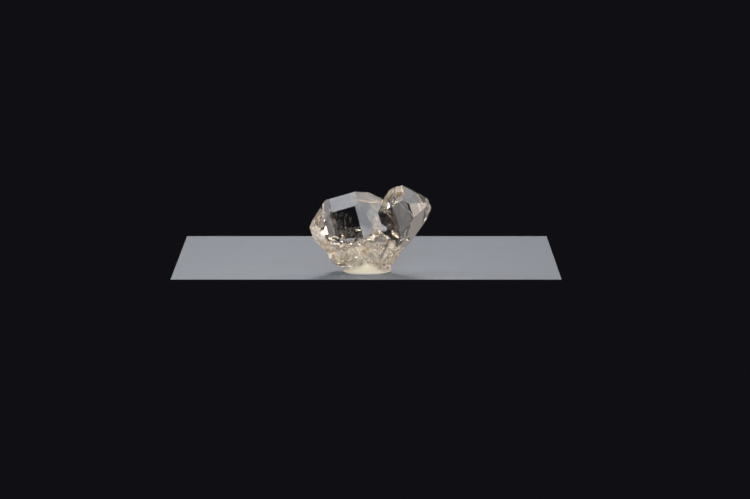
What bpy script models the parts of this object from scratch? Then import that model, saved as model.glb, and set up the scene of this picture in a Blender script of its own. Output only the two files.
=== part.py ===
"""Herkimer diamond: two clear quartz crystals grown into each other, standing on a pad of putty.

Each crystal is cut from a block by the faces that quartz grows: six prism faces along its length and
six slanting rhombohedron faces at either end. The angle between them is fixed by the mineral, so a
crystal is described only by where it sits, how it is turned, and how far each face is from its centre.
A broken root joins both crystals below. World axes: X to the right, Y to the back, Z up, in metres.
"""
import math

import bmesh
import bpy
import numpy as np
from mathutils import Matrix, Vector

MM = 0.001
BLANK_SIZE = 40.0          # mm, the block that every crystal is cut from

# Quartz: length of the cell along the c axis over its width, which sets the slope of the end faces.
AXIAL_RATIO = 1.100
END_SLOPE = math.atan(2.0 / math.sqrt(3.0) * AXIAL_RATIO)
SECTOR = 60.0

# Both crystals lie with the c axis nearly level. Azimuth 0 is the front, 90 is the top.
# Distances from the centre, in mm, for azimuth 0, 60, 120, 180, 240 and 300 degrees.
LEFT_CRYSTAL = {
    "centre": (-3.44, 1.01, 5.16),
    "heading": 3.4,
    "rise": 15.5,
    "roll": 2.1,
    "prism": (2.90, 4.40, 3.95, 2.15, 4.30, 4.30),
    "right_end": (3.55, 5.10, 5.80, 4.85, 4.60, 4.20),
    "left_end": (3.10, 4.20, 4.00, 2.20, 3.60, 3.40),
}
RIGHT_CRYSTAL = {
    "centre": (3.44, -1.32, 6.75),
    "heading": -16.2,
    "rise": 11.9,
    "roll": 17.7,
    "prism": (2.15, 4.20, 4.15, 3.08, 4.80, 5.80),
    "right_end": (3.45, 4.65, 4.50, 3.50, 3.50, 2.00),
    "left_end": (1.40, 2.60, 3.30, 1.45, 5.60, 6.00),
}
TIP_WEAR = 4.55            # distance of the small worn facet across the right crystal's point
CORNER_BREAK = ((-0.67, -0.09, -0.74), 3.52)   # broken lower left corner of the left crystal
FOOT_HEIGHT = 0.75         # the root is flat here, where it stands in the putty

# Growth layers: a thin plate on one face, its sides drawn in from the crystal's own edges.
# Set of faces, azimuth, thickness, inset, and a cut across the plate (angle, distance).
LAYER_CUT_SLOPE = math.radians(37.0)
LEFT_LAYERS = (
    ("left_end", 0, 0.05, 0.55, None),
    ("left_end", 60, 0.05, 0.50, None),
    ("prism", 120, 0.05, 0.55, None),
    ("left_end", 180, 0.05, 0.55, None),
)
RIGHT_LAYERS = (
    ("prism", 0, 0.07, 0.06, (34.0, 3.25)),
    ("left_end", 60, 0.05, 0.35, None),
    ("right_end", 240, 0.05, 0.60, None),
    ("prism", 240, 0.05, 0.70, None),
)

# Broken root below the crystals. Each lump: centre, half sizes, number of broken faces and seed.
ROOT_LUMPS = (
    ((-1.60, 0.75, 3.05), (4.95, 2.75, 3.00), 190, 3),
    ((1.80, -0.60, 2.50), (2.10, 2.10, 1.95), 80, 8),
)
ROOT_ROUGHNESS = 0.075     # how far a broken face may fall short of the lump's round form
ROOT_TILT = 0.13           # how far its normal may lean away from the round form's
# Long breaks give the root its slanting sides: normal and distance from the first lump's centre.
ROOT_BREAKS = (
    ((-0.93, -0.04, -0.37), 4.12),
    ((-0.60, -0.09, -0.79), 3.72),
    ((0.81, -0.07, -0.58), 4.72),
)

# Small quartz blocks that stand a little proud of the root.
BLOCKS_PER_LUMP = (46, 20)
BLOCK_BAND = (-0.80, 0.30)     # where they sit on a lump, from -1 at its bottom to 1 at its top
BLOCK_SIZE = (0.45, 1.05)
BLOCK_PROUD = (0.05, 0.24)
BLOCK_UNEVEN = (0.85, 1.25)    # each face's distance as a share of the block's size
BLOCK_TURN = 14.0              # degrees by which a block may lean away from the left crystal
BLOCK_SEED = 21

# Shell-shaped chips knocked out of edges: centre and radius.
CHIPS = (
    ((-8.15, -0.80, 4.35), 0.75),
    ((4.95, -5.05, 3.55), 0.95),
    ((6.95, -3.75, 6.95), 0.55),
    ((0.20, 0.30, 10.75), 0.70),
    ((-1.50, 4.95, 1.60), 1.60),
)
CHIP_DETAIL = 3

# Putty pad
PUTTY_CENTRE = (-0.58, 0.0)
PUTTY_RADIUS = 3.15
PUTTY_FOOT = 0.95          # radius of its flat underside, as a share of the widest radius
PUTTY_SHOULDER = 0.97      # and of the edge of its top
PUTTY_EDGE = 0.42          # thickness where the pad thins out to its round edge
PUTTY_BULGE = 0.19         # height of its widest place
PUTTY_HEIGHT = 1.15
PUTTY_RIDGE = 0.55         # extra height of the fold squeezed up in front
PUTTY_SIDES = 64
PUTTY_RINGS = 12
CLEARANCE = 0.30           # gap kept between the putty and the crystals

# Everything is moved by this much, so that the origin is under the middle of the object's box.
ORIGIN_SHIFT = (0.14, 0.27, 0.0)

QUARTZ_COLOUR = (0.86, 0.83, 0.79, 1.0)
PUTTY_COLOUR = (0.78, 0.74, 0.64, 1.0)


def clear_scene():
    for item in list(bpy.data.objects):
        bpy.data.objects.remove(item, do_unlink=True)


def make_material(name, colour, roughness, transmission=0.0):
    material = bpy.data.materials.new(name)
    material.use_nodes = True
    shader = material.node_tree.nodes["Principled BSDF"]
    shader.inputs["Base Color"].default_value = colour
    shader.inputs["Roughness"].default_value = roughness
    shader.inputs["Metallic"].default_value = 0.0
    shader.inputs["Transmission Weight"].default_value = transmission
    shader.inputs["IOR"].default_value = 1.544
    material.diffuse_color = colour
    return material


def turn_of(crystal):
    """Rotation from the crystal's own axes (X front, Y top, Z the c axis) to the world."""
    lying = Matrix(((0.0, 0.0, 1.0), (-1.0, 0.0, 0.0), (0.0, 1.0, 0.0)))
    roll = Matrix.Rotation(math.radians(crystal["roll"]), 3, "X")
    rise = Matrix.Rotation(-math.radians(crystal["rise"]), 3, "Y")
    heading = Matrix.Rotation(math.radians(crystal["heading"]), 3, "Z")
    return heading @ rise @ roll @ lying


def face_normal(face_set, azimuth):
    """Normal of a quartz face in the crystal's own axes."""
    around = math.radians(azimuth)
    if face_set == "prism":
        return Vector((math.cos(around), math.sin(around), 0.0))
    along = math.cos(END_SLOPE) if face_set == "right_end" else -math.cos(END_SLOPE)
    out = math.sin(END_SLOPE)
    return Vector((out * math.cos(around), out * math.sin(around), along))


def crystal_planes(crystal):
    """All 18 faces as a dictionary: (set, azimuth) to world normal and distance in mm."""
    turn = turn_of(crystal)
    planes = {}
    for face_set in ("prism", "right_end", "left_end"):
        for index, distance in enumerate(crystal[face_set]):
            azimuth = int(index * SECTOR)
            planes[(face_set, azimuth)] = (turn @ face_normal(face_set, azimuth), distance)
    return planes


def cut_block(planes, centre):
    """A block centred on the crystal, with everything outside each plane sawn off."""
    bm = bmesh.new()
    bmesh.ops.create_cube(bm, size=BLANK_SIZE * MM)
    for normal, distance in planes.values():
        geometry = bm.verts[:] + bm.edges[:] + bm.faces[:]
        cut = bmesh.ops.bisect_plane(bm, geom=geometry, dist=1e-8, plane_co=normal * distance * MM,
                                     plane_no=normal, clear_outer=True)
        rim = [item for item in cut["geom_cut"] if isinstance(item, bmesh.types.BMEdge)]
        if len(rim) > 2:
            bmesh.ops.contextual_create(bm, geom=rim)
    bmesh.ops.translate(bm, verts=bm.verts[:], vec=Vector(centre) * MM)
    bmesh.ops.recalc_face_normals(bm, faces=bm.faces[:])
    return bm


def foot_plane(centre, height):
    """The flat on which the root stands, as a plane seen from the crystal's centre."""
    return (Vector((0.0, 0.0, -1.0)), centre[2] - height)


def root_limits(centre):
    """The root's foot and long breaks, as planes seen from a centre."""
    planes = {"foot": foot_plane(centre, FOOT_HEIGHT)}
    for index, (normal, distance) in enumerate(ROOT_BREAKS):
        offset = (Vector(ROOT_LUMPS[0][0]) - Vector(centre)).dot(Vector(normal))
        planes[f"break_{index}"] = (Vector(normal), distance + offset)
    return planes


def layer_planes(crystal, planes, layer):
    """The crystal with one face pushed out and all others drawn in: a plate on that face."""
    face_set, azimuth, thickness, inset, cut = layer
    raised = {key: (normal, distance - inset) for key, (normal, distance) in planes.items()}
    normal, distance = planes[(face_set, azimuth)]
    raised[(face_set, azimuth)] = (normal, distance + thickness)
    if cut:
        angle, reach = math.radians(cut[0]), cut[1]
        along = turn_of(crystal) @ Vector((0.0, 0.0, 1.0))
        along = (along - normal * along.dot(normal)).normalized()
        across = normal.cross(along)
        side = along * math.cos(angle) + across * math.sin(angle)
        lean, rise = math.cos(LAYER_CUT_SLOPE), math.sin(LAYER_CUT_SLOPE)
        raised["cut"] = (side * lean + normal * rise, reach * lean + distance * rise)
    return raised


def lump_planes(half_sizes, count, seed):
    """Broken faces around a lump, spread evenly and set in by a seeded amount."""
    rng = np.random.default_rng(seed)
    golden = math.pi * (3.0 - math.sqrt(5.0))
    spin = rng.uniform(0.0, 2.0 * math.pi)
    planes = {}
    for index in range(count):
        height = 1.0 - 2.0 * (index + 0.5) / count
        ring = math.sqrt(1.0 - height * height)
        angle = index * golden + spin
        out = Vector((ring * math.cos(angle), ring * math.sin(angle), height))
        out = (out + Vector(rng.normal(0.0, ROOT_TILT, 3))).normalized()
        reach = Vector([half * part for half, part in zip(half_sizes, out)]).length
        planes[index] = (out, reach * (1.0 - rng.uniform(0.0, ROOT_ROUGHNESS)))
    return planes


def new_object(name, bm, material=None, collection=None):
    mesh = bpy.data.meshes.new(name)
    bm.to_mesh(mesh)
    bm.free()
    item = bpy.data.objects.new(name, mesh)
    (collection or bpy.context.scene.collection).objects.link(item)
    item.location = Vector(ORIGIN_SHIFT) * MM
    if material:
        mesh.materials.append(material)
    return item


def new_tools(name):
    """A collection for shapes that are only joined to or cut from a piece."""
    collection = bpy.data.collections.new(name)
    bpy.context.scene.collection.children.link(collection)
    return collection


def add_tool(name, bm, collection):
    item = new_object(name, bm, collection=collection)
    item.hide_render = True
    item.display_type = "WIRE"
    return item


def combine(item, name, operation, collection):
    modifier = item.modifiers.new(name, "BOOLEAN")
    modifier.operation = operation
    modifier.operand_type = "COLLECTION"
    modifier.collection = collection
    modifier.solver = "EXACT"
    return modifier


def add_layers(crystal, planes, layers, label, collection):
    for index, layer in enumerate(layers):
        bm = cut_block(layer_planes(crystal, planes, layer), crystal["centre"])
        add_tool(f"{label}_layer_{index}", bm, collection)


def left_planes():
    planes = crystal_planes(LEFT_CRYSTAL)
    planes["corner"] = (Vector(CORNER_BREAK[0]).normalized(), CORNER_BREAK[1])
    planes["foot"] = foot_plane(LEFT_CRYSTAL["centre"], FOOT_HEIGHT)
    return planes


def right_planes():
    planes = crystal_planes(RIGHT_CRYSTAL)
    planes["tip"] = (turn_of(RIGHT_CRYSTAL) @ Vector((0.0, 0.0, 1.0)), TIP_WEAR)
    planes["foot"] = foot_plane(RIGHT_CRYSTAL["centre"], FOOT_HEIGHT)
    return planes


def grown(planes, amount):
    return {key: (normal, distance + amount) for key, (normal, distance) in planes.items()}


def lump_solids():
    """Each lump of the root: its planes and its centre."""
    for centre, half_sizes, count, seed in ROOT_LUMPS:
        planes = lump_planes(half_sizes, count, seed)
        planes.update(root_limits(centre))
        yield planes, centre


def block_solids():
    """Blocks with quartz faces, nearly parallel to the left crystal, sunk into the lumps."""
    rng = np.random.default_rng(BLOCK_SEED)
    for (centre, half_sizes, _, _), count in zip(ROOT_LUMPS, BLOCKS_PER_LUMP):
        for index in range(count):
            angle = 2.0 * math.pi * (index + rng.uniform(0.0, 0.7)) / count
            height = rng.uniform(*BLOCK_BAND)
            ring = math.sqrt(1.0 - height * height)
            out = Vector((ring * math.cos(angle), ring * math.sin(angle), height))
            surface = Vector([half * part for half, part in zip(half_sizes, out)])
            size = rng.uniform(*BLOCK_SIZE)
            block = dict(LEFT_CRYSTAL)
            for turn in ("roll", "rise", "heading"):
                block[turn] += rng.uniform(-BLOCK_TURN, BLOCK_TURN)
            for face_set in ("prism", "right_end", "left_end"):
                block[face_set] = size * rng.uniform(*BLOCK_UNEVEN, 6)
            place = Vector(centre) + surface + out * (rng.uniform(*BLOCK_PROUD) - size)
            planes = crystal_planes(block)
            planes.update(root_limits(place))
            yield planes, place


def root_pieces():
    """Everything that makes up the root: its lumps, and the blocks on them."""
    return list(lump_solids()) + list(block_solids())


def add_chips(collection):
    for index, (centre, radius) in enumerate(CHIPS):
        bm = bmesh.new()
        bmesh.ops.create_icosphere(bm, subdivisions=CHIP_DETAIL, radius=radius * MM)
        bmesh.ops.translate(bm, verts=bm.verts[:], vec=Vector(centre) * MM)
        add_tool(f"chip_{index}", bm, collection)


def build_crystals(material):
    """One solid: both crystals, their growth layers and the root, less the chips."""
    item = new_object("quartz_crystals", cut_block(left_planes(), LEFT_CRYSTAL["centre"]), material)
    joined = new_tools("joined_to_crystals")
    add_tool("right_crystal", cut_block(right_planes(), RIGHT_CRYSTAL["centre"]), joined)
    for index, (planes, centre) in enumerate(root_pieces()):
        add_tool(f"root_{index}", cut_block(planes, centre), joined)
    add_layers(LEFT_CRYSTAL, left_planes(), LEFT_LAYERS, "left", joined)
    add_layers(RIGHT_CRYSTAL, right_planes(), RIGHT_LAYERS, "right", joined)
    combine(item, "grow", "UNION", joined)
    chipped = new_tools("chipped_from_crystals")
    add_chips(chipped)
    combine(item, "chip", "DIFFERENCE", chipped)
    return item


def putty_top(angle, share):
    """Height of the pad's top at an angle and a share of its radius, before the crystals press in."""
    crown = (PUTTY_HEIGHT - PUTTY_EDGE) * (1.0 - share ** 2.2)
    front = math.exp(-(math.degrees(angle + math.pi / 2.0) / 24.0) ** 2)
    fold = PUTTY_RIDGE * front * math.exp(-((share - 0.62) / 0.20) ** 2)
    dent = 0.10 * math.sin(3.0 * angle + 0.6) * share
    return PUTTY_EDGE + crown + fold + dent


def putty_radius(angle):
    """The pad is round, pressed a little out of true."""
    return PUTTY_RADIUS * (1.0 + 0.035 * math.sin(2.0 * angle + 0.4) + 0.02 * math.sin(5.0 * angle))


def putty_profile(angle):
    """The pad's outline at one angle, from the rim of its underside to the middle of its top."""
    radius = putty_radius(angle)
    points = [(radius * PUTTY_FOOT, 0.0), (radius, PUTTY_BULGE)]
    for ring in range(PUTTY_RINGS):
        share = 1.0 - ring / PUTTY_RINGS
        points.append((radius * PUTTY_SHOULDER * share, putty_top(angle, share)))
    return points


def putty_blank():
    """The pad before the crystals are pressed in, as rings joined from the underside to the top."""
    bm = bmesh.new()
    angles = [2.0 * math.pi * step / PUTTY_SIDES - math.pi for step in range(PUTTY_SIDES)]
    profiles = [putty_profile(angle) for angle in angles]
    rings = []
    for level in range(len(profiles[0])):
        ring = []
        for angle, profile in zip(angles, profiles):
            reach, height = profile[level]
            place = (PUTTY_CENTRE[0] + reach * math.cos(angle),
                     PUTTY_CENTRE[1] + reach * math.sin(angle), height)
            ring.append(bm.verts.new(Vector(place) * MM))
        rings.append(ring)
    for lower, upper in zip(rings, rings[1:]):
        for step in range(PUTTY_SIDES):
            following = (step + 1) % PUTTY_SIDES
            bm.faces.new((lower[step], lower[following], upper[following], upper[step]))
    bm.faces.new(list(reversed(rings[0])))
    bm.faces.new(rings[-1])
    bmesh.ops.triangulate(bm, faces=bm.faces[:])
    return bm


def build_putty(material):
    """A flat-bottomed pad with a round edge, hollowed on top to the crystals' form."""
    item = new_object("putty", putty_blank(), material)
    pressed = new_tools("pressed_into_putty")
    prints = [(left_planes(), LEFT_CRYSTAL["centre"]), (right_planes(), RIGHT_CRYSTAL["centre"])]
    for index, (planes, centre) in enumerate(prints + root_pieces()):
        add_tool(f"print_{index}", cut_block(grown(planes, CLEARANCE), centre), pressed)
    combine(item, "press", "DIFFERENCE", pressed)
    return item


def main():
    clear_scene()
    quartz = make_material("clear_quartz", QUARTZ_COLOUR, 0.02, transmission=1.0)
    putty = make_material("putty", PUTTY_COLOUR, 0.75)
    build_crystals(quartz)
    build_putty(putty)


main()
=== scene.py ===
import math

import bmesh
import bpy
import numpy as np
from mathutils import Matrix, Vector, noise
from mathutils.bvhtree import BVHTree


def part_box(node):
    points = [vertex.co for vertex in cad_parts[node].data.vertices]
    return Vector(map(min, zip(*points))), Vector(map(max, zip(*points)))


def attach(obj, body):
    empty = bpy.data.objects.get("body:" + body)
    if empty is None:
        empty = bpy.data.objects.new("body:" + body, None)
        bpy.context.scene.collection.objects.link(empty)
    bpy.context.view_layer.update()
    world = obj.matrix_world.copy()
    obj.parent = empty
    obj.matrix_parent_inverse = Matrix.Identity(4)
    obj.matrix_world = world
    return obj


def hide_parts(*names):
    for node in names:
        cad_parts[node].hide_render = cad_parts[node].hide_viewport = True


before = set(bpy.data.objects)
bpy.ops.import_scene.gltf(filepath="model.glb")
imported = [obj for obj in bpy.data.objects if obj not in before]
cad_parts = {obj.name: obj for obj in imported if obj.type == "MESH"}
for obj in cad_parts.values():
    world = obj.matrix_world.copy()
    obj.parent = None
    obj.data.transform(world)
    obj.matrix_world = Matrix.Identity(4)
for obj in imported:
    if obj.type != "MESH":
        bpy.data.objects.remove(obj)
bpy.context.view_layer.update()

bl_info = {
    "name": "Herkimer Diamond",
    "version": (1, 0, 0),
    "blender": (4, 5, 0),
    "location": "3D View > Sidebar > Herkimer",
    "description": "Dresses two grown-together quartz crystals and their putty pad",
    "category": "Object",
}

MM = 0.001
BODY = "root"
QUARTZ_NODE = "quartz_crystals"
PUTTY_NODE = "putty"
CRYSTALS_PIECE = "joined_crystals"
QUARTZ_IOR = 1.544
MIX_A, MIX_B, MIX_RESULT = 6, 7, 2       # a colour Mix node's sockets: its two colours and its result

# Quartz habit: slope of the end faces from the cell's proportions, and how each crystal is turned.
AXIAL_RATIO = 1.100
END_SLOPE = math.atan(2.0 / math.sqrt(3.0) * AXIAL_RATIO)
SECTOR = 60.0
TURNS = {                    # heading, rise and roll of the c axis, in degrees
    "left": (3.4, 15.5, 2.1),
    "right": (-16.2, 11.9, 17.7),
}
GROWTH_TOLERANCE = math.radians(0.25)   # a face this close to a quartz direction grew there
GROWTH_LEAST = 0.04                     # mm2, a smaller face counts as broken
WORN_LEAST = 10.0                       # a worn edge is at least this many times as long as wide
WORN_ANGLE = math.radians(12.0)         # and turns by more than this
MERGE_WITHIN, FLAT_WITHIN = 0.0005, math.radians(0.05)   # mm and angle at which the solid is one
BROKEN = "broken"                       # face attribute: 1 on broken quartz, 0 on growth faces
GRAIN = "grain"                         # point attribute: how cloudy and finely grained the quartz is
REFINE_ROUNDS = 7                       # most times that a face is split

# Where the crystals turn from clear to shattered: height in mm at the middle, depth of the change,
# and how far the line climbs towards the left end, from one place to another along X.
SHATTER_LINE = 4.3
SHATTER_FADE = 1.5
SHATTER_CLIMB = 3.0
SHATTER_CLIMB_FROM, SHATTER_CLIMB_TO = -4.6, -7.0
SHATTER_LEAN = 0.05          # rise of the line for each mm to the right
SHATTER_WAVES = ((0.55, 1.3), (0.35, 0.5))   # how far it wanders up and down, and over what length
SHATTER_TOP = 1.8            # mm above the line up to which every face gets a fine mesh
ETCHED_SHARE = 0.5           # how much of the shelly relief a growth face has there
CLEAR_FROM, CLEAR_TO = 0.6, 1.8          # along X, where the cloudy root turns clearer
CLEAR_SHARE = 0.80           # how much of the cloudiness is missing there
# Shelly relief: how far a hollow reaches against the spacing of hollows, and the fine ripple over it.
DISH_REACH = 0.75
RIPPLE_DEPTH, RIPPLE_LENGTH = 0.012, 0.22
# One long smooth break, cream all over: its ends at X and Z as seen from the front, and half width.
CREAMY_BREAK = ((2.95, 3.85), (1.55, 1.55))
CREAMY_WIDTH, CREAMY_FADE = 0.42, 0.10
CREAMY_TAPER = 0.5           # share of its width that is lost towards the lower end
CREAMY_BEFORE = -0.5         # it lies in front of this Y
# Frosted patches on the side that faces the viewer: X and Z as seen from the front, radius, strength.
FROSTED = (
    (-1.60, 10.00, 0.95, 0.22), (-0.40, 9.60, 0.95, 0.25), (0.60, 9.00, 0.80, 0.35),
    (1.75, 9.15, 0.50, 0.48), (2.30, 10.10, 0.80, 0.48), (3.20, 10.70, 0.70, 0.32),
    (4.70, 10.30, 0.80, 0.25), (6.90, 9.20, 0.75, 0.40), (7.30, 8.40, 0.60, 0.40),
    (0.75, 6.80, 0.55, 0.45), (0.60, 5.60, 0.70, 0.50), (-7.00, 6.60, 1.10, 0.60),
    (-6.60, 7.70, 0.70, 0.50), (-7.40, 5.60, 0.90, 0.65), (-4.90, 6.60, 0.50, 0.25),
)
FROST_REACH, FROST_FADE = 1.15, 0.40     # a patch ends at this many radii, after fading over these
FROST_UNEVEN, FROST_LENGTH = 0.35, 0.6   # how uneven its outline is, and over how many mm

# Quartz surface, in mm where a length. Ranges are those of a noise from 0 to 1.
CLOUD_SHARE = 0.72           # share of the light that the cloudiest quartz scatters
CLOUD_SPACING = 0.9          # between cloudy patches
CLOUD_RANGE, CLOUD_LEAST = (0.36, 0.66), 0.35
CLOUD_ROUGHNESS = 0.30
CLAY_SPACING = 1.6           # between patches stained by clay
CLAY_RANGE, CLAY_MOST = (0.44, 0.62), 0.85
CLAY_POWER = 0.5             # the stain follows the cloudiness to this power
GRAIN_SPACING = 0.16         # between the fine grains of the cloudy quartz
HILLOCK_SPACING = 1.3        # between the low rises that a growth face has
HILLOCK_SHARE = 0.5          # their height against that of the fine grain
SURFACE_RELIEF = 0.012       # height of the fine grain
ABSORPTION = 26.0            # per metre, of the colour that the quartz lets through
# Fine dents of the other surfaces: their spacing against that of the patches of tone, and strength.
DENT_SPACING, DENT_STRENGTH = 0.13, 0.6

# The view that the features below are placed by: looking 6.7 degrees down, from the front.
SIGHT_ANGLE = math.radians(6.7)
SIGHT = Vector((0.0, math.cos(SIGHT_ANGLE), -math.sin(SIGHT_ANGLE)))
SIGHT_PLANE = 0.27           # mm, the depth at which X and Z below are measured
SIGHT_START = 0.05           # metres in front of it, where a line of sight starts
RAY = Vector((0.31, 0.17, 0.93)).normalized()    # a direction along no face, to count walls by
RAY_STEP = 1e-7

# Gas-filled cracks in the shattered root, in mm: how many, where, and how large.
CRACK_COUNT = 60
CRACK_ZONE = ((-6.0, -3.0, 1.0), (4.5, 3.5, 4.4))
CRACK_RADIUS = (0.25, 0.75)
CRACK_SEED = 11
# Cracks that catch the light: X and Z as seen from the front, depth under the surface, normal,
# turn about the normal in degrees, and half sizes across and along.
BRIGHT_CRACKS = (
    (1.85, 5.25, 0.45, (0.25, -0.55, 0.80), 0.0, (0.42, 0.62)),
    (3.15, 5.25, 0.45, (-0.10, -0.60, 0.80), 0.0, (0.50, 0.55)),
    (3.55, 4.70, 0.50, (0.30, -0.50, 0.80), 0.0, (0.38, 0.45)),
    (2.45, 4.55, 0.40, (0.10, -0.60, 0.80), 0.0, (0.28, 0.55)),
    (4.75, 4.40, 0.35, (0.10, -0.55, 0.80), 0.0, (0.30, 0.42)),
    (-3.50, 5.80, 0.90, (0.10, -0.55, 0.80), 0.0, (0.34, 0.12)),
    (-1.55, 5.55, 0.90, (0.05, -0.55, 0.80), 0.0, (0.46, 0.16)),
    (5.95, 8.65, 0.60, (0.10, -0.50, 0.85), 0.0, (0.16, 0.10)),
    (7.00, 8.35, 0.50, (0.10, -0.50, 0.85), 0.0, (0.18, 0.10)),
)
CRACK_RINGS, CRACK_SIDES = 9, 26
CRACK_GAP = 0.014
CRACK_ROOM = 1.4             # least depth of a seeded crack, against its radius
CRACK_TRIES = 30             # places tried for each crack
CRACK_BOW = 0.35             # most that a crack bends, against its size
CRACK_LOBES = ((0.22, 1), (0.12, 3))     # unevenness of its rim, and how often it comes round
CRACK_WAVE, CRACK_WAVE_LENGTH = 0.010, 0.060     # ribs that spread from one side of the crack
CRACK_SPRING = 0.6           # how far off its middle they start, against its size

# Healed cracks: curved sheets strewn with tiny bubbles. X and Z as seen from the front, depth under
# the surface, normal, half sizes across and along, and how strongly the sheet bends.
VEILS = (
    (-2.90, 5.10, 0.6, (0.10, -0.85, 0.50), (2.4, 0.85), 0.10),
    (-2.30, 5.00, 1.2, (-0.10, -0.80, 0.55), (2.6, 0.70), -0.10),
    (-1.20, 5.25, 0.8, (-0.30, -0.80, 0.50), (1.5, 0.85), -0.12),
    (-4.60, 6.40, 0.9, (0.55, -0.70, 0.20), (0.45, 1.30), 0.15),
    (-5.30, 6.60, 0.8, (0.60, -0.70, 0.20), (0.45, 1.20), -0.15),
    (-3.90, 6.50, 1.0, (0.60, -0.70, 0.10), (0.35, 1.30), 0.20),
    (-3.30, 6.60, 0.8, (0.75, -0.55, 0.05), (0.22, 1.30), 0.20),
    (-2.50, 6.30, 1.0, (0.80, -0.50, 0.05), (0.20, 1.10), -0.20),
    (-4.30, 6.90, 0.6, (0.70, -0.60, 0.05), (0.25, 1.20), -0.20),
    (-6.40, 6.60, 0.6, (-0.50, -0.60, 0.60), (0.90, 1.10), 0.15),
    (-6.80, 5.60, 0.5, (-0.40, -0.80, 0.40), (0.80, 0.90), 0.15),
    (0.45, 6.20, 0.6, (0.20, -0.90, 0.30), (0.50, 2.80), 0.15),
    (0.70, 5.60, 1.1, (-0.20, -0.90, 0.20), (0.50, 2.40), 0.15),
    (-0.60, 8.20, 0.8, (0.30, -0.80, 0.50), (1.30, 1.00), 0.12),
    (-3.40, 8.90, 0.6, (0.00, -0.70, 0.70), (2.20, 0.45), 0.10),
    (3.30, 5.60, 0.5, (0.30, -0.80, 0.50), (0.90, 0.60), 0.15),
    (4.90, 5.30, 0.6, (0.40, -0.80, 0.30), (0.60, 0.90), 0.15),
    (4.70, 7.60, 1.2, (0.40, -0.80, 0.20), (0.90, 1.60), 0.15),
    (3.30, 10.30, 0.6, (0.00, -0.60, 0.80), (1.40, 0.60), 0.12),
    (5.90, 9.20, 0.7, (0.30, -0.70, 0.60), (1.10, 0.60), 0.12),
    (2.10, 8.60, 0.6, (0.30, -0.80, 0.30), (0.60, 1.20), 0.12),
)
VEIL_STEP = 0.08             # mm between the points of a sheet
VEIL_SKIN = 0.12             # least depth of a bubble under the surface
VEIL_WAVE, VEIL_WAVES = 0.25, 0.9        # how far a sheet waves, and how many waves to a mm
VEIL_SEED = 5
BUBBLE_RANGE = (0.38, 0.72)  # of the noise, from no bubbles to the most
BUBBLE_SIZES = (0.5, 1.5)    # against the usual one

# Black grains in the quartz: X and Z as seen from the front, depth under the surface, and size.
BLACK_GRAINS = (
    (-6.85, 6.95, 0.10, 0.10), (-6.35, 7.25, 0.12, 0.08), (-7.15, 6.45, 0.10, 0.08),
    (-2.90, 1.75, 0.00, 0.14), (-3.80, 1.70, 0.00, 0.09), (-4.70, 3.35, 0.00, 0.08),
    (-5.15, 2.60, 0.00, 0.06), (-1.95, 3.05, 0.00, 0.06), (0.85, 2.35, 0.00, 0.07),
    (-6.05, 5.10, 0.05, 0.07), (3.55, 10.35, 0.20, 0.07),
)
# Rust in cracks, and black lines of painted shade: one beside the long smooth break, along the groove
# where the two crystals meet, and one across the right crystal's top, where a growth step shows dark.
# Points at X and Z as seen from the front, and half width.
RUST_LINES = (
    (((-4.50, 3.90), (-4.25, 3.35), (-3.55, 2.88), (-3.05, 2.55)), 0.045),
    (((-5.00, 3.20), (-4.60, 2.70), (-4.35, 2.05)), 0.030),
)
PAINTED_SHADE_SEAMS = (
    (((2.45, 4.20), (2.05, 3.30), (1.60, 2.40), (1.25, 1.62)), 0.060),
    (((3.75, 9.12), (4.30, 8.60), (4.95, 8.02)), 0.035),
)
LINE_STEP = 0.12             # mm between the points of such a line
LINE_SIDES = 6
LINE_END = 0.25              # width at its ends, against the middle
LINE_MARGIN = 0.08           # share of its length over which the end stays thin
LINE_DEPTH = 0.4             # against its width
LINE_UNEVEN, LINE_LENGTH = 0.5, 0.25     # how uneven its width is, and over how many mm
GRAIN_UNEVEN, GRAIN_LUMPS = 0.55, 0.8    # of a black grain: how uneven, and the lumps' size

# Putty, in mm: its flat underside, the dents, the crease in front, and how far up it reaches to the
# quartz.
FLAT_UNDERSIDE = 0.02
DENTS = ((1.0, 0.7), (0.35, 0.25))       # depth against the deepest, and size
CREASE_X, CREASE_WIDTH = -0.10, 0.16
CREASE_SWAY, CREASE_WAVES = 0.15, 5.0    # the crease sways, this many radians to a mm
PRESS_REACH = 0.60
PRESS_RADIUS, PRESS_FADE = 2.75, 0.60    # the putty touches the quartz only inside this radius
PRESS_OVERLAP = 0.02         # how far it goes into the quartz there, so that no gap shows
PRESS_FACING = 0.1           # least upward part of the normal where it is drawn up

# Stage: the floor's corners in mm, the camera in metres and degrees, and the lights.
FLOOR_CORNERS = ((-25.6, -7.3), (24.5, -7.3), (24.5, 41.6), (-25.6, 41.6))
CAMERA_LENS, CAMERA_SENSOR = 206.4, 36.0
CAMERA_CLIP = (0.01, 5.0)
CAMERA_PLACE = (0.000594, -0.5540, 0.0681)
CAMERA_TILT = 83.3
LIGHT_DISTANCE, LIGHT_WIDTH = 0.40, 0.16
LIGHT_TARGET = 5.0           # mm above the floor
LIGHT_BOUNCES = 24
ROOM_COLOUR = "#101014"
FLOOR_ROUGHNESS = (0.42, 0.48)
FLOOR_PATCHES = 6.0          # mm between smoother and rougher places
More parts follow.
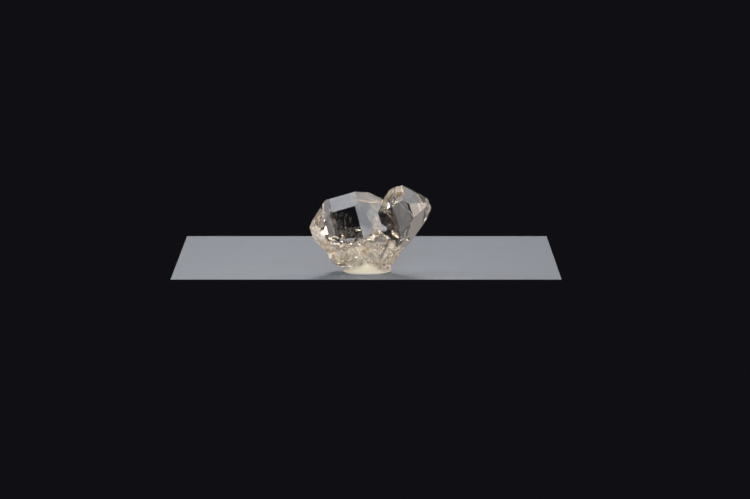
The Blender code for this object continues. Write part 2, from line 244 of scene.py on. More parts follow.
# Name, azimuth, elevation, energy in watts, and colour.
SOFT_BOXES = (
    ("low_left", -77.0, -11.0, 1.00, "#FFEEE2"),
    ("front", 0.0, 16.0, 0.81, "#FFFAEC"),
    ("back", -177.0, 38.0, 0.58, "#FFFBF8"),
    ("low_right", 60.0, -12.0, 0.58, "#FFF0E4"),
    ("back_right", 130.0, 42.0, 0.60, "#FFE4C4"),
    ("left", -105.0, 23.0, 0.37, "#FFF5E4"),
    ("front_right", 45.0, 39.0, 0.32, "#FFF7E1"),
    ("back_far_right", 150.0, 31.0, 0.04, "#FFEDD3"),
    ("left_high", -80.0, 66.0, 0.20, "#FFE3B8"),
    ("back_left", -150.0, 2.0, 0.045, "#EEF0FF"),
    ("top", -132.0, 76.0, 0.150, "#F2F4FF"),
    ("right_low", 93.0, -6.0, 0.012, "#FFF6E6"),
    ("behind_left", -157.0, 27.0, 0.017, "#FFEFE2"),
    ("behind", 158.0, 5.0, 0.010, "#FEFBFF"),
)


class CrystalSettings(bpy.types.PropertyGroup):
    edge_wear: bpy.props.FloatProperty(
        name="Edge wear", description="Width of the worn line along a crystal edge",
        default=0.03 * MM, min=0.0, unit="LENGTH", precision=6)
    fracture_grain: bpy.props.FloatProperty(
        name="Fracture grain", description="Longest edge of the mesh on broken or front-facing quartz",
        default=0.22 * MM, min=0.05 * MM, unit="LENGTH", precision=6)
    dish_size: bpy.props.FloatProperty(
        name="Shell size", description="Spacing of the shell-shaped hollows on broken quartz",
        default=0.85 * MM, min=0.1 * MM, unit="LENGTH", precision=6)
    dish_depth: bpy.props.FloatProperty(
        name="Shell depth", description="Depth of the shell-shaped hollows",
        default=0.10 * MM, min=0.0, unit="LENGTH", precision=6)


class InclusionSettings(bpy.types.PropertyGroup):
    bubbles_per_mm2: bpy.props.FloatProperty(
        name="Bubbles", description="Most bubbles on a square millimetre of a healed crack",
        default=390.0, min=0.0)
    bubble_radius: bpy.props.FloatProperty(
        name="Bubble radius", description="Usual radius of a bubble",
        default=0.0095 * MM, min=0.001 * MM, unit="LENGTH", precision=6)
    patch_size: bpy.props.FloatProperty(
        name="Patch size", description="Spacing of the patches in which the bubbles gather",
        default=0.85 * MM, min=0.05 * MM, unit="LENGTH", precision=6)


class PuttySettings(bpy.types.PropertyGroup):
    dent_depth: bpy.props.FloatProperty(
        name="Dent depth", description="Depth of the dents that fingers leave",
        default=0.06 * MM, min=0.0, unit="LENGTH", precision=6)
    crease_depth: bpy.props.FloatProperty(
        name="Crease depth", description="Depth of the crease in the front",
        default=0.09 * MM, min=0.0, unit="LENGTH", precision=6)
    grain: bpy.props.FloatProperty(
        name="Mesh grain", description="Longest edge of the putty's mesh",
        default=0.20 * MM, min=0.05 * MM, unit="LENGTH", precision=6)


class StageSettings(bpy.types.PropertyGroup):
    floor_colour: bpy.props.FloatVectorProperty(
        name="Floor", description="Colour of the floor", subtype="COLOR", size=3,
        default=(0.190, 0.235, 0.325), min=0.0, max=1.0)


def colour(hex_code):
    """An sRGB hex value as linear red, green, blue and alpha."""
    parts = [int(hex_code[place:place + 2], 16) / 255.0 for place in (1, 3, 5)]
    linear = [part / 12.92 if part <= 0.04045 else ((part + 0.055) / 1.055) ** 2.4 for part in parts]
    return (*linear, 1.0)


def new_material(name):
    """A material, its node tree, emptied, and the tree's output."""
    material = bpy.data.materials.new(name)
    material.use_nodes = True
    tree = material.node_tree
    tree.nodes.clear()
    return material, tree, tree.nodes.new("ShaderNodeOutputMaterial")


def add_node(tree, kind, settings=None, links=None):
    """Adds a node. Settings are sockets, by name or number, or attributes; links are sockets."""
    node = tree.nodes.new(kind)
    for key, value in (settings or {}).items():
        if isinstance(key, int) or key in node.inputs:
            node.inputs[key].default_value = value
        else:
            setattr(node, key, value)
    for key, source in (links or {}).items():
        tree.links.new(source, node.inputs[key])
    return node


def quartz_material():
    """Clear quartz. Growth faces are glassy. Where the crystals shattered and healed, the quartz is
    full of hair-fine cracks and clay: cloudy cream, a little rough, and only partly see-through. The
    clear part passes light with a faint warm tint that deepens with the way through it."""
    material, tree, output = new_material("clear_quartz")
    place = add_node(tree, "ShaderNodeTexCoord")
    shattered_here = add_node(tree, "ShaderNodeAttribute", {"attribute_name": GRAIN})
    patches = add_node(tree, "ShaderNodeTexNoise",
                       {"Scale": 1.0 / (CLOUD_SPACING * MM), "Detail": 4.0, "Roughness": 0.55},
                       {"Vector": place.outputs["Object"]})
    spread = add_node(tree, "ShaderNodeMapRange",
                      {"From Min": CLOUD_RANGE[0], "From Max": CLOUD_RANGE[1],
                       "To Min": CLOUD_LEAST, "To Max": 1.0},
                      {"Value": patches.outputs["Fac"]})
    cloudy = add_node(tree, "ShaderNodeMath", {"operation": "MULTIPLY"},
                      {0: spread.outputs["Result"], 1: shattered_here.outputs["Fac"]})
    clear_share = add_node(tree, "ShaderNodeMapRange", {"To Min": 1.0, "To Max": 1.0 - CLOUD_SHARE},
                           {"Value": cloudy.outputs["Value"]})
    rough = add_node(tree, "ShaderNodeMath", {"operation": "MULTIPLY", 1: CLOUD_ROUGHNESS},
                     {0: cloudy.outputs["Value"]})
    tone = add_node(tree, "ShaderNodeMix",
                    {"data_type": "RGBA", MIX_A: colour("#FFFDFA"), MIX_B: colour("#FDFBF8")},
                    {"Factor": cloudy.outputs["Value"]})
    clay = add_node(tree, "ShaderNodeTexNoise",
                    {"Scale": 1.0 / (CLAY_SPACING * MM), "Detail": 3.0, "Roughness": 0.6},
                    {"Vector": place.outputs["Object"]})
    clay_spread = add_node(tree, "ShaderNodeMapRange",
                           {"From Min": CLAY_RANGE[0], "From Max": CLAY_RANGE[1],
                            "To Min": 0.0, "To Max": CLAY_MOST},
                           {"Value": clay.outputs["Fac"]})
    held = add_node(tree, "ShaderNodeMath", {"operation": "POWER", 1: CLAY_POWER},
                    {0: shattered_here.outputs["Fac"]})
    stained = add_node(tree, "ShaderNodeMath", {"operation": "MULTIPLY"},
                       {0: clay_spread.outputs["Result"], 1: held.outputs["Value"]})
    warm = add_node(tree, "ShaderNodeMix", {"data_type": "RGBA", MIX_B: colour("#E8D6BC")},
                    {"Factor": stained.outputs["Value"], MIX_A: tone.outputs[MIX_RESULT]})
    grain = add_node(tree, "ShaderNodeTexNoise",
                     {"Scale": 1.0 / (GRAIN_SPACING * MM), "Detail": 3.0, "Roughness": 0.5},
                     {"Vector": place.outputs["Object"]})
    fine = add_node(tree, "ShaderNodeMath", {"operation": "MULTIPLY"},
                    {0: grain.outputs["Fac"], 1: shattered_here.outputs["Fac"]})
    hillocks = add_node(tree, "ShaderNodeTexNoise",
                        {"Scale": 1.0 / (HILLOCK_SPACING * MM), "Detail": 2.0, "Roughness": 0.4},
                        {"Vector": place.outputs["Object"]})
    height = add_node(tree, "ShaderNodeMath", {"operation": "MULTIPLY_ADD", 1: HILLOCK_SHARE},
                      {0: hillocks.outputs["Fac"], 2: fine.outputs["Value"]})
    bump = add_node(tree, "ShaderNodeBump", {"Strength": 1.0, "Distance": SURFACE_RELIEF * MM},
                    {"Height": height.outputs["Value"]})
    shader = add_node(tree, "ShaderNodeBsdfPrincipled", {"IOR": QUARTZ_IOR},
                      {"Base Color": warm.outputs[MIX_RESULT], "Roughness": rough.outputs["Value"],
                       "Transmission Weight": clear_share.outputs["Result"],
                       "Normal": bump.outputs["Normal"]})
    inside = add_node(tree, "ShaderNodeVolumeAbsorption",
                      {"Color": colour("#F6E8D2"), "Density": ABSORPTION})
    tree.links.new(shader.outputs["BSDF"], output.inputs["Surface"])
    tree.links.new(inside.outputs["Volume"], output.inputs["Volume"])
    return material


def speckled_material(name, dark, light, spacing, roughness, ior, dent):
    """A material of two close tones in patches of one size, with a fine dented surface."""
    material, tree, output = new_material(name)
    place = add_node(tree, "ShaderNodeTexCoord")
    patches = add_node(tree, "ShaderNodeTexNoise", {"Scale": 1.0 / (spacing * MM), "Detail": 4.0},
                       {"Vector": place.outputs["Object"]})
    tone = add_node(tree, "ShaderNodeMix",
                    {"data_type": "RGBA", MIX_A: colour(dark), MIX_B: colour(light)},
                    {"Factor": patches.outputs["Fac"]})
    grain = add_node(tree, "ShaderNodeTexNoise",
                     {"Scale": 1.0 / (DENT_SPACING * spacing * MM), "Detail": 3.0},
                     {"Vector": place.outputs["Object"]})
    bump = add_node(tree, "ShaderNodeBump", {"Strength": DENT_STRENGTH, "Distance": dent * MM},
                    {"Height": grain.outputs["Fac"]})
    shader = add_node(tree, "ShaderNodeBsdfPrincipled", {"Roughness": roughness, "IOR": ior},
                      {"Base Color": tone.outputs[MIX_RESULT], "Normal": bump.outputs["Normal"]})
    tree.links.new(shader.outputs["BSDF"], output.inputs["Surface"])
    return material


def bubble_material():
    """Gas and brine shut in a healed crack: bubbles too small to see into, bright white points."""
    return speckled_material("gas_bubbles_trapped", "#E6E2DC", "#FFFFFF", 0.3, 0.25, 1.33, 0.001)


def rust_material():
    """Iron rust dried in a crack: a thin, dull, orange-brown film."""
    return speckled_material("iron_rust_film", "#8A5A30", "#BF8A50", 0.3, 0.60, 1.60, 0.005)


def bitumen_and_painted_shade_material():
    """Black solid hydrocarbon, as herkimer quartz often holds, also used as painted shade: dull black
    with a slight shine.
    """
    return speckled_material("black_bitumen_and_painted_shade", "#17130F", "#2B251F", 0.2, 0.45, 1.55, 0.005)


def putty_material():
    """Reusable mounting putty, pressed by hand: soft, matt, slightly oily, with fine dents."""
    return speckled_material("cream_putty_pressed", "#E9E5DC", "#F8F6F0", 0.9, 0.55, 1.48, 0.02)


def floor_material(base):
    """Plain satin plastic sheet, plain, smooth enough for a soft reflection."""
    material, tree, output = new_material("plain_plastic_satin")
    place = add_node(tree, "ShaderNodeTexCoord")
    wear = add_node(tree, "ShaderNodeTexNoise", {"Scale": 1.0 / (FLOOR_PATCHES * MM), "Detail": 3.0},
                    {"Vector": place.outputs["Object"]})
    rough = add_node(tree, "ShaderNodeMapRange",
                     {"To Min": FLOOR_ROUGHNESS[0], "To Max": FLOOR_ROUGHNESS[1]},
                     {"Value": wear.outputs["Fac"]})
    shader = add_node(tree, "ShaderNodeBsdfPrincipled",
                      {"Base Color": (*base, 1.0), "IOR": 1.49, "Specular IOR Level": 0.2},
                      {"Roughness": rough.outputs["Result"]})
    tree.links.new(shader.outputs["BSDF"], output.inputs["Surface"])
    return material


def turn_of(heading, rise, roll):
    """Rotation from a crystal's own axes (X front, Y top, Z the c axis) to the world."""
    lying = Matrix(((0.0, 0.0, 1.0), (-1.0, 0.0, 0.0), (0.0, 1.0, 0.0)))
    rolled = Matrix.Rotation(math.radians(roll), 3, "X")
    risen = Matrix.Rotation(-math.radians(rise), 3, "Y")
    headed = Matrix.Rotation(math.radians(heading), 3, "Z")
    return headed @ risen @ rolled @ lying


def growth_directions():
    """Normals of the 18 faces of each crystal, in the world."""
    found = []
    for angles in TURNS.values():
        turn = turn_of(*angles)
        for step in range(6):
            around = math.radians(step * SECTOR)
            found.append(turn @ Vector((math.cos(around), math.sin(around), 0.0)))
            for end in (1.0, -1.0):
                out = math.sin(END_SLOPE)
                found.append(turn @ Vector((out * math.cos(around), out * math.sin(around),
                                            end * math.cos(END_SLOPE))))
    return found


def is_growth(face, directions):
    if face.calc_area() < GROWTH_LEAST * MM * MM:
        return False
    return any(face.normal.angle(direction) < GROWTH_TOLERANCE for direction in directions)


def link_piece(name, mesh, slot, *nodes):
    item = bpy.data.objects.new(name, mesh)
    bpy.context.scene.collection.objects.link(item)
    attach(item, BODY)
    if nodes:
        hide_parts(*nodes)
    return item


def merged_copy(node):
    """The node's solid with its corners merged and its flat faces whole again."""
    bm = bmesh.new()
    bm.from_mesh(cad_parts[node].data)
    bmesh.ops.remove_doubles(bm, verts=bm.verts[:], dist=MERGE_WITHIN * MM)
    bmesh.ops.dissolve_limit(bm, angle_limit=FLAT_WITHIN, verts=bm.verts[:], edges=bm.edges[:])
    return bm


def wear_edges(bm, layer, width):
    """A narrow worn face along the edges where two growth faces meet."""
    sharp = [edge for edge in bm.edges
             if len(edge.link_faces) == 2 and edge.calc_length() > WORN_LEAST * width
             and all(face[layer] == 0.0 for face in edge.link_faces)
             and edge.calc_face_angle() > WORN_ANGLE]
    bmesh.ops.bevel(bm, geom=sharp, offset=width, offset_type="OFFSET", segments=1,
                    profile=0.5, affect="EDGES", clamp_overlap=True)


def refine(bm, grain, wanted):
    """Splits the wanted faces until none has an edge longer than the grain."""
    bmesh.ops.triangulate(bm, faces=[face for face in bm.faces if wanted(face)])
    for _ in range(REFINE_ROUNDS):
        long_edges = [edge for edge in bm.edges if edge.calc_length() > grain
                      and any(wanted(face) for face in edge.link_faces)]
        if not long_edges:
            break
        bmesh.ops.subdivide_edges(bm, edges=long_edges, cuts=1)
        bmesh.ops.triangulate(bm, faces=[face for face in bm.faces
                                         if len(face.verts) > 3 and wanted(face)])


def shattered(point):
    """How far quartz at a point is shattered, from 0 high on the crystals to 1 at the root."""
    along = (SHATTER_CLIMB_FROM - point.x / MM) / (SHATTER_CLIMB_FROM - SHATTER_CLIMB_TO)
    climb = SHATTER_CLIMB * min(1.0, max(0.0, along))
    line = SHATTER_LINE + climb
    for rise, length in SHATTER_WAVES:
        line += rise * noise.noise(point / (length * MM))
    height = point.z / MM - SHATTER_LEAN * point.x / MM
    share = min(1.0, max(0.0, (line - height) / SHATTER_FADE))
    return share * share * (3.0 - 2.0 * share)


def seen_from_front(point):
    """A point's X and Z in mm as seen from the front."""
    x, y, z = (part / MM for part in point)
    return Vector((x, z + (y - SIGHT_PLANE) * math.tan(SIGHT_ANGLE)))


def on_creamy_break(point):
    """1 on the long smooth break in front, 0 away from it, by its place as seen from the front."""
    if point.y / MM > CREAMY_BEFORE:
        return 0.0
    seen = seen_from_front(point)
    start, end = (Vector(corner) for corner in CREAMY_BREAK)
    line = end - start
    share = min(1.0, max(0.0, (seen - start).dot(line) / line.length_squared))
    away = (seen - start - line * share).length
    width = CREAMY_WIDTH * (1.0 - CREAMY_TAPER * share)
    return min(1.0, max(0.0, (width - away) / CREAMY_FADE))


def frost(point):
    """How frosted the surface is at a point, by its place as seen from the front."""
    seen = seen_from_front(point)
    uneven = 1.0 + FROST_UNEVEN * noise.noise(point / (FROST_LENGTH * MM))
    most = 0.0
    for x, z, radius, strength in FROSTED:
        away = (seen - Vector((x, z))).length / (radius * uneven)
        most = max(most, strength * min(1.0, max(0.0, (FROST_REACH - away) / FROST_FADE)))
    return most


def cloudiness(point):
    """How cloudy the quartz is at a point: the right crystal shattered but stayed clear."""
    right = min(1.0, max(0.0, (point.x / MM - CLEAR_FROM) / (CLEAR_TO - CLEAR_FROM)))
    return max(shattered(point) * (1.0 - CLEAR_SHARE * right), on_creamy_break(point))


def roughen(bm, layer, spacing, depth):
    """Presses shell-shaped hollows into broken quartz, with ridges left between them."""
    bm.normal_update()
    moves = {}
    for vert in bm.verts:
        flat = [face for face in vert.link_faces if face[layer] < 0.5]
        amount = shattered(vert.co)
        if flat:
            if amount <= 0.0:
                continue
            amount *= ETCHED_SHARE
        near = noise.voronoi(vert.co / spacing)[0][0]
        dish = max(0.0, 1.0 - (near / DISH_REACH) ** 2)
        ripple = RIPPLE_DEPTH * MM * (1.0 + noise.noise(vert.co / (RIPPLE_LENGTH * MM)))
        if not flat:
            amount = 1.0
        amount *= 1.0 - on_creamy_break(vert.co)
        moves[vert] = -vert.normal * amount * (depth * dish + ripple)
    for vert, move in moves.items():
        vert.co += move


def lens_crack(bm, place, normal, roll, half_sizes, seed):
    """A gas-filled crack inside the quartz: a thin curved lens whose walls face into the gap."""
    rng = np.random.default_rng(seed)
    turn = normal.to_track_quat("Z", "Y").to_matrix() @ Matrix.Rotation(math.radians(roll), 3, "Z")
    across, along = half_sizes
    largest = max(half_sizes)
    spring = CRACK_SPRING * largest
    bow = rng.uniform(-CRACK_BOW, CRACK_BOW) / largest
    lean = rng.uniform(0.0, 2.0 * math.pi)
    phases = rng.uniform(0.0, 2.0 * math.pi, 3)
    angles = [2.0 * math.pi * step / CRACK_SIDES for step in range(CRACK_SIDES)]

    def wall_point(share, angle, side):
        uneven = 1.0
        for (size, times), phase in zip(CRACK_LOBES, phases):
            uneven += size * math.sin(times * angle + phase)
        x = across * share * uneven * math.cos(angle)
        y = along * share * uneven * math.sin(angle)
        away = math.hypot(x - spring * math.cos(lean), y - spring * math.sin(lean))
        wave = CRACK_WAVE * MM * math.sin(away / (CRACK_WAVE_LENGTH * MM) + phases[2])
        half_gap = 0.5 * CRACK_GAP * MM * (1.0 - share * share)
        return place + turn @ Vector((x, y, bow * (x * x + y * y) + wave + side * half_gap))

    rim = [bm.verts.new(wall_point(1.0, angle, 0.0)) for angle in angles]
    for side in (1.0, -1.0):
        rows = [[bm.verts.new(wall_point(ring / CRACK_RINGS, angle, side)) for angle in angles]
                for ring in range(1, CRACK_RINGS)]
        rows.append(rim)
        middle = bm.verts.new(wall_point(0.0, 0.0, side))
        for step in range(CRACK_SIDES):
            after = (step + 1) % CRACK_SIDES
            quads = [(middle, rows[0][step], rows[0][after])]
            quads += [(inner[step], outer[step], outer[after], inner[after])
                      for inner, outer in zip(rows, rows[1:])]
            for corners in quads:
                bm.faces.new(corners if side < 0.0 else corners[::-1]).smooth = True


def depth_inside(tree, point):
    """How far a point is below the quartz's surface; negative outside."""
    distance = tree.find_nearest(point)[3]
    crossings = 0
    start = point
    while True:
        hit = tree.ray_cast(start, RAY)[0]
        if hit is None:
            return distance if crossings % 2 else -distance
        crossings += 1
        start = hit + RAY * RAY_STEP


def front_point(tree, x, z, depth):
    """A point under the surface that faces the viewer, at X and Z as seen from the front, in mm."""
    start = Vector((x, SIGHT_PLANE, z)) * MM - SIGHT * SIGHT_START
    hit = tree.ray_cast(start, SIGHT)[0]
    if hit is None:
        raise RuntimeError(f"nothing of the crystals lies at X {x}, Z {z}")
    return hit + SIGHT * depth * MM


def cracks(tree):
    """Place, normal, turn and half sizes of each crack: those that catch the light, then seeded ones."""
    found = [(front_point(tree, x, z, depth), Vector(normal).normalized(), roll,
              [half * MM for half in half_sizes])
             for x, z, depth, normal, roll, half_sizes in BRIGHT_CRACKS]
    rng = np.random.default_rng(CRACK_SEED)
    low, high = CRACK_ZONE
    for _ in range(CRACK_COUNT * CRACK_TRIES):
        place = Vector([rng.uniform(a, b) for a, b in zip(low, high)]) * MM
        radius = rng.uniform(*CRACK_RADIUS) * MM
        normal = Vector(rng.normal(0.0, 1.0, 3)).normalized()
        if len(found) < CRACK_COUNT and depth_inside(tree, place) > radius * CRACK_ROOM:
            found.append((place, normal, 0.0, (radius, radius)))
    return found


def quartz_tree():
    """The dressed crystals' surface, for finding places inside them."""
    bm = bmesh.new()
    bm.from_mesh(bpy.data.objects[CRYSTALS_PIECE].data)
    tree = BVHTree.FromBMesh(bm)
    bm.free()
    return tree


def veil_sheets(tree):
    """The healed cracks as curved sheets, cut off where they would leave the quartz."""
    bm = bmesh.new()
    for x, z, depth, normal, (across, along), bend in VEILS:
        place = front_point(tree, x, z, depth)
        turn = Vector(normal).normalized().to_track_quat("Z", "Y").to_matrix()
        columns = int(2.0 * across / VEIL_STEP) + 1
        rows = int(2.0 * along / VEIL_STEP) + 1
        grid = []
        for row in range(rows):
            line = []
            for column in range(columns):
                u = -across + 2.0 * across * column / (columns - 1)
                v = -along + 2.0 * along * row / (rows - 1)
                wave = VEIL_WAVE * noise.noise(Vector((u * VEIL_WAVES + x, v * VEIL_WAVES + z, depth)))
                local = Vector((u, v, bend * (u * u + v * v) + wave)) * MM
                line.append(bm.verts.new(place + turn @ local))
            grid.append(line)
        for lower, upper in zip(grid, grid[1:]):
            for step in range(columns - 1):
                bm.faces.new((lower[step], lower[step + 1], upper[step + 1], upper[step]))
    outside = [face for face in bm.faces
               if depth_inside(tree, face.calc_center_median()) < VEIL_SKIN * MM]
    bmesh.ops.delete(bm, geom=outside, context="FACES")
    return bm


def strewing_nodes(material):
    """Geometry Nodes that strew bubbles over a sheet, in patches that a noise thins out."""
    tree = bpy.data.node_groups.new("strewn_bubbles", "GeometryNodeTree")
    face = tree.interface
    face.new_socket("Sheet", in_out="INPUT", socket_type="NodeSocketGeometry")
    for name in ("Bubbles per square metre", "Bubble radius", "Patch size"):
        face.new_socket(name, in_out="INPUT", socket_type="NodeSocketFloat")
    face.new_socket("Seed", in_out="INPUT", socket_type="NodeSocketInt")
    face.new_socket("Bubbles", in_out="OUTPUT", socket_type="NodeSocketGeometry")
    given = add_node(tree, "NodeGroupInput").outputs
    position = add_node(tree, "GeometryNodeInputPosition")
    scale = add_node(tree, "ShaderNodeMath", {"operation": "DIVIDE", 0: 1.0}, {1: given["Patch size"]})
    patches = add_node(tree, "ShaderNodeTexNoise", {"Detail": 3.0},
                       {"Vector": position.outputs["Position"], "Scale": scale.outputs["Value"]})
    share = add_node(tree, "ShaderNodeMapRange",
                     {"From Min": BUBBLE_RANGE[0], "From Max": BUBBLE_RANGE[1]},
                     {"Value": patches.outputs["Fac"]})
    density = add_node(tree, "ShaderNodeMath", {"operation": "MULTIPLY"},
                       {0: share.outputs["Result"], 1: given["Bubbles per square metre"]})
    points = add_node(tree, "GeometryNodeDistributePointsOnFaces", {"distribute_method": "RANDOM"},
                      {"Mesh": given["Sheet"], "Density": density.outputs["Value"],
                       "Seed": given["Seed"]})
    bubble = add_node(tree, "GeometryNodeMeshIcoSphere", {"Subdivisions": 1},
                      {"Radius": given["Bubble radius"]})
    size = add_node(tree, "FunctionNodeRandomValue",
                    {"data_type": "FLOAT", 2: BUBBLE_SIZES[0], 3: BUBBLE_SIZES[1]},
                    {"Seed": given["Seed"]})
    copies = add_node(tree, "GeometryNodeInstanceOnPoints", None,
                      {"Points": points.outputs["Points"], "Instance": bubble.outputs["Mesh"],
                       "Scale": size.outputs[1]})
    real = add_node(tree, "GeometryNodeRealizeInstances", None,
                    {"Geometry": copies.outputs["Instances"]})
    coat = add_node(tree, "GeometryNodeSetMaterial", {"Material": material},
                    {"Geometry": real.outputs["Geometry"]})
    add_node(tree, "NodeGroupOutput", None, {"Bubbles": coat.outputs["Geometry"]})
    return tree


def grown_mesh(name, bm, tree, inputs):
    """The mesh that a Geometry Nodes tree makes from a sheet, with its inputs set by name."""
    sheet = bpy.data.objects.new(name + "_sheet", bpy.data.meshes.new(name + "_sheet"))
    bm.to_mesh(sheet.data)
    bm.free()
    bpy.context.scene.collection.objects.link(sheet)
    modifier = sheet.modifiers.new("strew", "NODES")
    modifier.node_group = tree
    for item in tree.interface.items_tree:
        if item.in_out == "INPUT" and item.name in inputs:
            modifier[item.identifier] = inputs[item.name]
    graph = bpy.context.evaluated_depsgraph_get()
    mesh = bpy.data.meshes.new_from_object(sheet.evaluated_get(graph))
    mesh.name = name
    bpy.data.objects.remove(sheet, do_unlink=True)
    return mesh


def front_line(tree, corners):
    """Points along a broken line on the surface that faces the viewer."""
    found = []
    for (x, z), (next_x, next_z) in zip(corners, corners[1:]):
        steps = max(2, int(math.hypot(next_x - x, next_z - z) / LINE_STEP))
        for step in range(steps):
            share = step / steps
            place = front_point(tree, x + share * (next_x - x), z + share * (next_z - z), 0.0)
            found.append(place)
    return found


def draw_line(bm, points, half_width):
    """A flat closed strand along points, thinner towards both ends and a little uneven."""
    rings = []
    for index, point in enumerate(points):
        before, after = points[max(index - 1, 0)], points[min(index + 1, len(points) - 1)]
        along = (after - before).normalized()
        across = along.cross(SIGHT).normalized()
        share = index / (len(points) - 1)
        swell = math.sin(math.pi * (LINE_MARGIN + (1.0 - 2.0 * LINE_MARGIN) * share))
        width = half_width * MM * (LINE_END + (1.0 - LINE_END) * swell)
        width *= 1.0 + LINE_UNEVEN * noise.noise(point / (LINE_LENGTH * MM))
        ring = []
        for step in range(LINE_SIDES):
            angle = 2.0 * math.pi * step / LINE_SIDES
            ring.append(bm.verts.new(point + across * width * math.cos(angle)
                                     + SIGHT * LINE_DEPTH * width * math.sin(angle)))
        rings.append(ring)
    for ring, following in zip(rings, rings[1:]):
        for step in range(LINE_SIDES):
            after = (step + 1) % LINE_SIDES
            bm.faces.new((ring[step], ring[after], following[after], following[step]))
    bm.faces.new(rings[0][::-1])
    bm.faces.new(rings[-1])


def add_grain(bm, place, size, seed):
    """A small uneven grain."""
    made = bmesh.ops.create_icosphere(bm, subdivisions=2, radius=size * MM)["verts"]
    for vert in made:
        lump = noise.noise(vert.co / (GRAIN_LUMPS * size * MM) + Vector((seed, 0.0, 0.0)))
        vert.co *= 1.0 + GRAIN_UNEVEN * lump
        vert.co += place


def finish_piece(name, bm, material, slot, *nodes):
    """Turns a finished bmesh into a piece with its normals outwards."""
    bmesh.ops.recalc_face_normals(bm, faces=bm.faces[:])
    mesh = bpy.data.meshes.new(name)
    bm.to_mesh(mesh)
    bm.free()
    mesh.materials.append(material)
    return link_piece(name, mesh, slot, *nodes)


class HERKIMER_OT_crystals(bpy.types.Operator):
    """Dress the joined crystals: clear growth faces, worn edges, a broken root and inner cracks"""
    bl_idname = "herkimer.crystals"
    bl_label = "Joined crystals"

    def execute(self, context):
        settings = context.scene.herkimer_crystals
        bm = merged_copy(QUARTZ_NODE)
        layer = bm.faces.layers.float.new(BROKEN)
        directions = growth_directions()
        for face in bm.faces:
            face[layer] = 0.0 if is_growth(face, directions) else 1.0
        wear_edges(bm, layer, settings.edge_wear)
        top = (SHATTER_LINE + SHATTER_TOP) * MM
        refine(bm, settings.fracture_grain, lambda face: face[layer] > 0.5
               or face.normal.dot(SIGHT) < 0.0 or min(vert.co.z for vert in face.verts) < top)
        roughen(bm, layer, settings.dish_size, settings.dish_depth)
        bmesh.ops.triangulate(bm, faces=bm.faces[:])
        bm.normal_update()
        for face in bm.faces:
            face.smooth = face[layer] > 0.5
        tree = BVHTree.FromBMesh(bm)
        grain = bm.verts.layers.float.new(GRAIN)
        for vert in bm.verts:
            vert[grain] = frost(vert.co) if vert.normal.dot(SIGHT) < 0.0 else 0.0
        for index, crack in enumerate(cracks(tree)):
            lens_crack(bm, *crack, CRACK_SEED + index)
        for vert in bm.verts:
            vert[grain] = max(vert[grain], cloudiness(vert.co))
        for edge in bm.edges:
            if len({face.smooth for face in edge.link_faces}) > 1:
                edge.smooth = False
        mesh = bpy.data.meshes.new(CRYSTALS_PIECE)
        bm.to_mesh(mesh)
        bm.free()
        mesh.materials.append(quartz_material())
        link_piece(CRYSTALS_PIECE, mesh, "clear_quartz", QUARTZ_NODE)
        return {"FINISHED"}


class HERKIMER_OT_veils(bpy.types.Operator):
    """Strew tiny bubbles over the healed cracks inside the crystals"""
    bl_idname = "herkimer.veils"
    bl_label = "Healed veils"

    def execute(self, context):
        settings = context.scene.herkimer_inclusions
        sheets = veil_sheets(quartz_tree())
        mesh = grown_mesh("healed_veils", sheets, strewing_nodes(bubble_material()), {
            "Bubbles per square metre": settings.bubbles_per_mm2 / (MM * MM),
            "Bubble radius": settings.bubble_radius,
            "Patch size": settings.patch_size,
            "Seed": VEIL_SEED,
        })
        link_piece("healed_veils", mesh, "clear_quartz")
        return {"FINISHED"}


class HERKIMER_OT_inclusions(bpy.types.Operator):
    """Add the rust and the black hydrocarbon that the quartz shut in, and black lines of painted shade
    """
    bl_idname = "herkimer.inclusions"
    bl_label = "Rust, black grains and painted shade"

    def execute(self, context):
        tree = quartz_tree()
        rust = bmesh.new()
        for corners, half_width in RUST_LINES:
            draw_line(rust, front_line(tree, corners), half_width)
        finish_piece("iron_stain", rust, rust_material(), "clear_quartz")
        black = bmesh.new()
        for index, (x, z, depth, size) in enumerate(BLACK_GRAINS):
            add_grain(black, front_point(tree, x, z, depth), size, index)
        # painted shade: black lines where the quartz only looks dark, along the crystals' groove and a
        # growth step
        for corners, half_width in PAINTED_SHADE_SEAMS:
            draw_line(black, front_line(tree, corners), half_width)
        finish_piece("black_grains", black, bitumen_and_painted_shade_material(), "clear_quartz")
        return {"FINISHED"}


class HERKIMER_OT_putty(bpy.types.Operator):
    """Dress the pad of putty: pressed against the quartz, dented, and creased in front"""
    bl_idname = "herkimer.putty"
    bl_label = "Putty pad"

    def execute(self, context):
        settings = context.scene.herkimer_putty
        quartz = quartz_tree()
        low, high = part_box(PUTTY_NODE)
        middle = (Vector(low) + Vector(high)) * 0.5
        bm = merged_copy(PUTTY_NODE)
        refine(bm, settings.grain, lambda face: True)
        bm.normal_update()
        lifts = {}
        for vert in bm.verts:
            if vert.co.z < FLAT_UNDERSIDE * MM:
                continue
            dent = sum(share * settings.dent_depth * (0.5 + noise.noise(vert.co / (size * MM)))
                       for share, size in DENTS)
            if vert.co.y < 0.0:
                sway = CREASE_SWAY * math.sin(vert.co.z / MM * CREASE_WAVES)
                away = (vert.co.x / MM - CREASE_X - sway) / CREASE_WIDTH
                dent += settings.crease_depth * math.exp(-away * away)
            lift = -vert.normal * max(dent, 0.0)
            gap = quartz.ray_cast(vert.co, Vector((0.0, 0.0, 1.0)))[3]
            inwards = PRESS_RADIUS * MM - math.hypot(vert.co.x - middle.x, vert.co.y - middle.y)
            facing_up = vert.normal.z > PRESS_FACING
            if facing_up and gap is not None and gap < PRESS_REACH * MM and inwards > 0.0:
                share = min(1.0, inwards / (PRESS_FADE * MM))
                lift = Vector((0.0, 0.0, share * (gap + PRESS_OVERLAP * MM)))
            lifts[vert] = lift
        for vert, lift in lifts.items():
            vert.co += lift
        for face in bm.faces:
            face.smooth = True
        bmesh.ops.triangulate(bm, faces=bm.faces[:])
        finish_piece("putty_pad", bm, putty_material(), "putty", PUTTY_NODE)
        return {"FINISHED"}


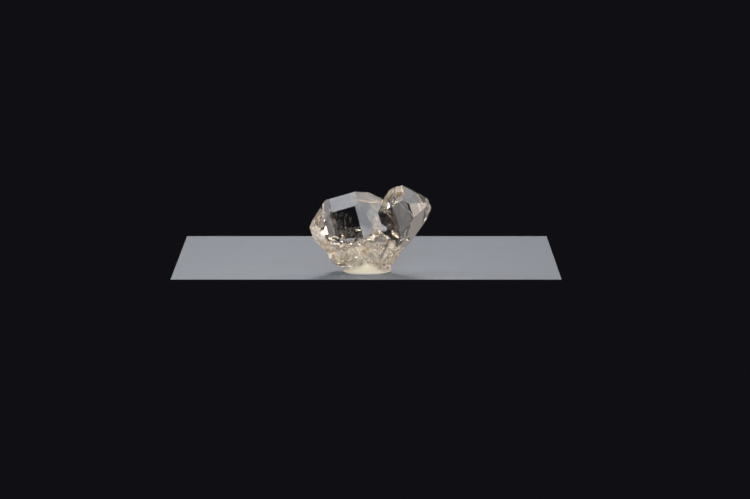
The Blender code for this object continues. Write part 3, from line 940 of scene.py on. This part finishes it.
def soft_box(name, azimuth, elevation, energy, hex_code):
    """A round soft light aimed at the crystals. Azimuth 0 is the front, 90 the right."""
    lamp = bpy.data.lights.new(name, "AREA")
    lamp.shape = "DISK"
    lamp.size = LIGHT_WIDTH
    lamp.energy = energy
    lamp.color = colour(hex_code)[:3]
    around, up = math.radians(azimuth), math.radians(elevation)
    out = Vector((math.sin(around) * math.cos(up), -math.cos(around) * math.cos(up), math.sin(up)))
    light = bpy.data.objects.new(name, lamp)
    bpy.context.scene.collection.objects.link(light)
    light.location = out * LIGHT_DISTANCE + Vector((0.0, 0.0, LIGHT_TARGET * MM))
    light.rotation_euler = (-out).to_track_quat("-Z", "Y").to_euler()
    light.visible_camera = False


class HERKIMER_OT_stage(bpy.types.Operator):
    """Set the floor, the soft lights and the camera"""
    bl_idname = "herkimer.stage"
    bl_label = "Stage"

    def execute(self, context):
        scene = context.scene
        mesh = bpy.data.meshes.new("floor")
        mesh.from_pydata([(x * MM, y * MM, 0.0) for x, y in FLOOR_CORNERS], [], [(0, 1, 2, 3)])
        mesh.materials.append(floor_material(scene.herkimer_stage.floor_colour))
        floor = bpy.data.objects.new("floor", mesh)
        scene.collection.objects.link(floor)
        camera = bpy.data.cameras.new("camera")
        camera.sensor_width = CAMERA_SENSOR
        camera.lens = CAMERA_LENS
        camera.clip_start, camera.clip_end = CAMERA_CLIP
        view = bpy.data.objects.new("camera", camera)
        scene.collection.objects.link(view)
        view.location = CAMERA_PLACE
        view.rotation_euler = (math.radians(CAMERA_TILT), 0.0, 0.0)
        scene.camera = view
        for box in SOFT_BOXES:
            soft_box(*box)
        world = bpy.data.worlds.new("dark_room")
        world.use_nodes = True
        world.node_tree.nodes["Background"].inputs["Color"].default_value = colour(ROOM_COLOUR)
        scene.world = world
        scene.view_settings.view_transform = "Standard"
        scene.cycles.max_bounces = LIGHT_BOUNCES
        scene.cycles.transmission_bounces = LIGHT_BOUNCES
        scene.cycles.sample_clamp_indirect = 0.0
        return {"FINISHED"}


class HERKIMER_PT_panel(bpy.types.Panel):
    """Lists the pieces in the order they are made"""
    bl_idname = "HERKIMER_PT_panel"
    bl_label = "Herkimer Diamond"
    bl_space_type = "VIEW_3D"
    bl_region_type = "UI"
    bl_category = "Herkimer"

    def draw(self, context):
        for group in SETTINGS:
            settings = getattr(context.scene, group)
            for name in settings.__annotations__:
                self.layout.prop(settings, name)
        for operator in OPERATORS:
            self.layout.operator(operator.bl_idname)


OPERATORS = (HERKIMER_OT_crystals, HERKIMER_OT_veils, HERKIMER_OT_inclusions, HERKIMER_OT_putty,
             HERKIMER_OT_stage)
SETTINGS = {
    "herkimer_crystals": CrystalSettings,
    "herkimer_inclusions": InclusionSettings,
    "herkimer_putty": PuttySettings,
    "herkimer_stage": StageSettings,
}


def register():
    for name, group in SETTINGS.items():
        bpy.utils.register_class(group)
        setattr(bpy.types.Scene, name, bpy.props.PointerProperty(type=group))
    for item in (*OPERATORS, HERKIMER_PT_panel):
        bpy.utils.register_class(item)


def unregister():
    for item in reversed((*OPERATORS, HERKIMER_PT_panel)):
        bpy.utils.unregister_class(item)
    for name, group in SETTINGS.items():
        delattr(bpy.types.Scene, name)
        bpy.utils.unregister_class(group)


def main():
    register()
    bpy.ops.herkimer.crystals()
    bpy.ops.herkimer.veils()
    bpy.ops.herkimer.inclusions()
    bpy.ops.herkimer.putty()
    bpy.ops.herkimer.stage()


if __name__ == "__main__":
    main()
